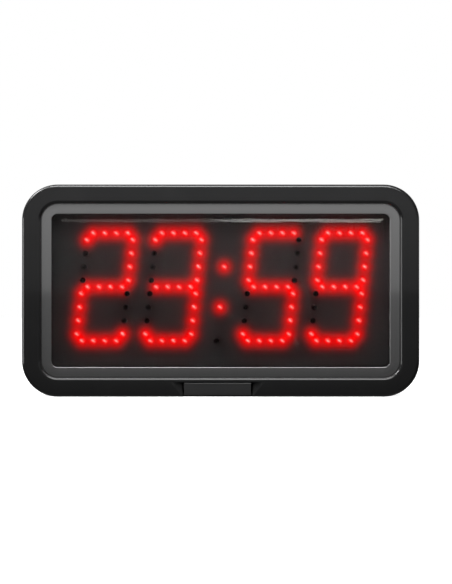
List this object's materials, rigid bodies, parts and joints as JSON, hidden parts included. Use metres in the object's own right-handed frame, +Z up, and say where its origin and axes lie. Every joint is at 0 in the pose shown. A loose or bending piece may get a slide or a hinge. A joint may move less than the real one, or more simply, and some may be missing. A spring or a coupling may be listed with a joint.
{
  "type": "gym round timer",
  "caption": "Wall-hung LED round timer: black two-part case, grey trim ring, smoked window over red LED digits, release latch and push buttons.",
  "frame": {"origin": "centre of the wall plate's back face, where it lies on the wall", "axes": "+X to the right seen from the front, +Y into the wall, +Z up; the display faces -Y"},
  "size_m": [0.35, 0.055, 0.187],
  "materials": {
    "black_abs": "moulded black ABS, fine texture",
    "grey_trim": "satin grey",
    "smoked_acrylic": "smoked, polished",
    "black_rubber": "matte",
    "board_green": "solder mask over glass-fibre board",
    "red_led": "red diffused epoxy",
    "chip_black": "moulded component body",
    "zinc_steel": "zinc plated",
    "spring_steel": "bright drawn wire",
    "aluminium": "extruded, satin",
    "sleeve_blue": "shrink sleeve",
    "ribbon_grey": "flat cable insulation",
    "button_grey": "satin"
  },
  "bodies": {
    "case": {"wall_plate": "zinc_steel", "rear_housing": "black_abs", "front_frame": "black_abs", "trim_ring": "grey_trim", "lens_gasket": "black_rubber", "display_lens": "smoked_acrylic", "spacer_frame": "black_abs", "display_board": "board_green", "led_digit_1": "red_led", "led_digit_2": "red_led", "led_digit_3": "red_led", "led_digit_4": "red_led", "led_colon": "red_led", "control_board": "board_green", "micro_controller": "chip_black", "led_driver_1": "chip_black", "led_driver_2": "chip_black", "clock_crystal": "zinc_steel", "voltage_regulator": "chip_black", "heat_sink": "aluminium", "filter_capacitor": "sleeve_blue", "sounder": "chip_black", "coin_cell_holder": "chip_black", "coin_cell": "zinc_steel", "display_socket": "chip_black", "control_socket": "chip_black", "ribbon_cable": "ribbon_grey", "power_inlet": "chip_black", "inlet_nut": "zinc_steel", "latch_pin": "zinc_steel", "latch_spring": "spring_steel", "button_board": "board_green", "mode_switch": "chip_black", "set_switch": "chip_black", "start_switch": "chip_black", "case_screw_1": "zinc_steel", "case_screw_2": "zinc_steel", "case_screw_3": "zinc_steel", "case_screw_4": "zinc_steel", "case_screw_5": "zinc_steel", "case_screw_6": "zinc_steel", "display_screw_1": "zinc_steel", "control_screw_1": "zinc_steel", "display_screw_2": "zinc_steel", "control_screw_2": "zinc_steel", "display_screw_3": "zinc_steel", "control_screw_3": "zinc_steel", "display_screw_4": "zinc_steel", "control_screw_4": "zinc_steel", "button_screw_1": "zinc_steel", "button_screw_2": "zinc_steel"},
    "latch": {"release_latch": "black_abs"},
    "mode_key": {"mode_button": "button_grey", "mode_plunger": "button_grey"},
    "set_key": {"set_button": "button_grey", "set_plunger": "button_grey"},
    "start_key": {"start_button": "button_grey", "start_plunger": "button_grey"}
  },
  "joints": [
    {"name": "latch_press", "type": "hinge", "parent": "case", "child": "latch", "pos_m": [0, -0.0465, -0.0825], "axis": [1, 0, 0], "range_deg": [0, 7], "stiffness_Nm_per_rad": 0.3, "springref_deg": -6.88, "deforming": ["latch_spring"]},
    {"name": "mode_press", "type": "slide", "parent": "case", "child": "mode_key", "axis": [0, 0, 1], "range_m": [0, 0.001], "stiffness_N_per_m": 800, "springref_m": -0.0005},
    {"name": "set_press", "type": "slide", "parent": "case", "child": "set_key", "axis": [0, 0, 1], "range_m": [0, 0.001], "stiffness_N_per_m": 800, "springref_m": -0.0005},
    {"name": "start_press", "type": "slide", "parent": "case", "child": "start_key", "axis": [0, 0, 1], "range_m": [0, 0.001], "stiffness_N_per_m": 800, "springref_m": -0.0005}
  ]
}
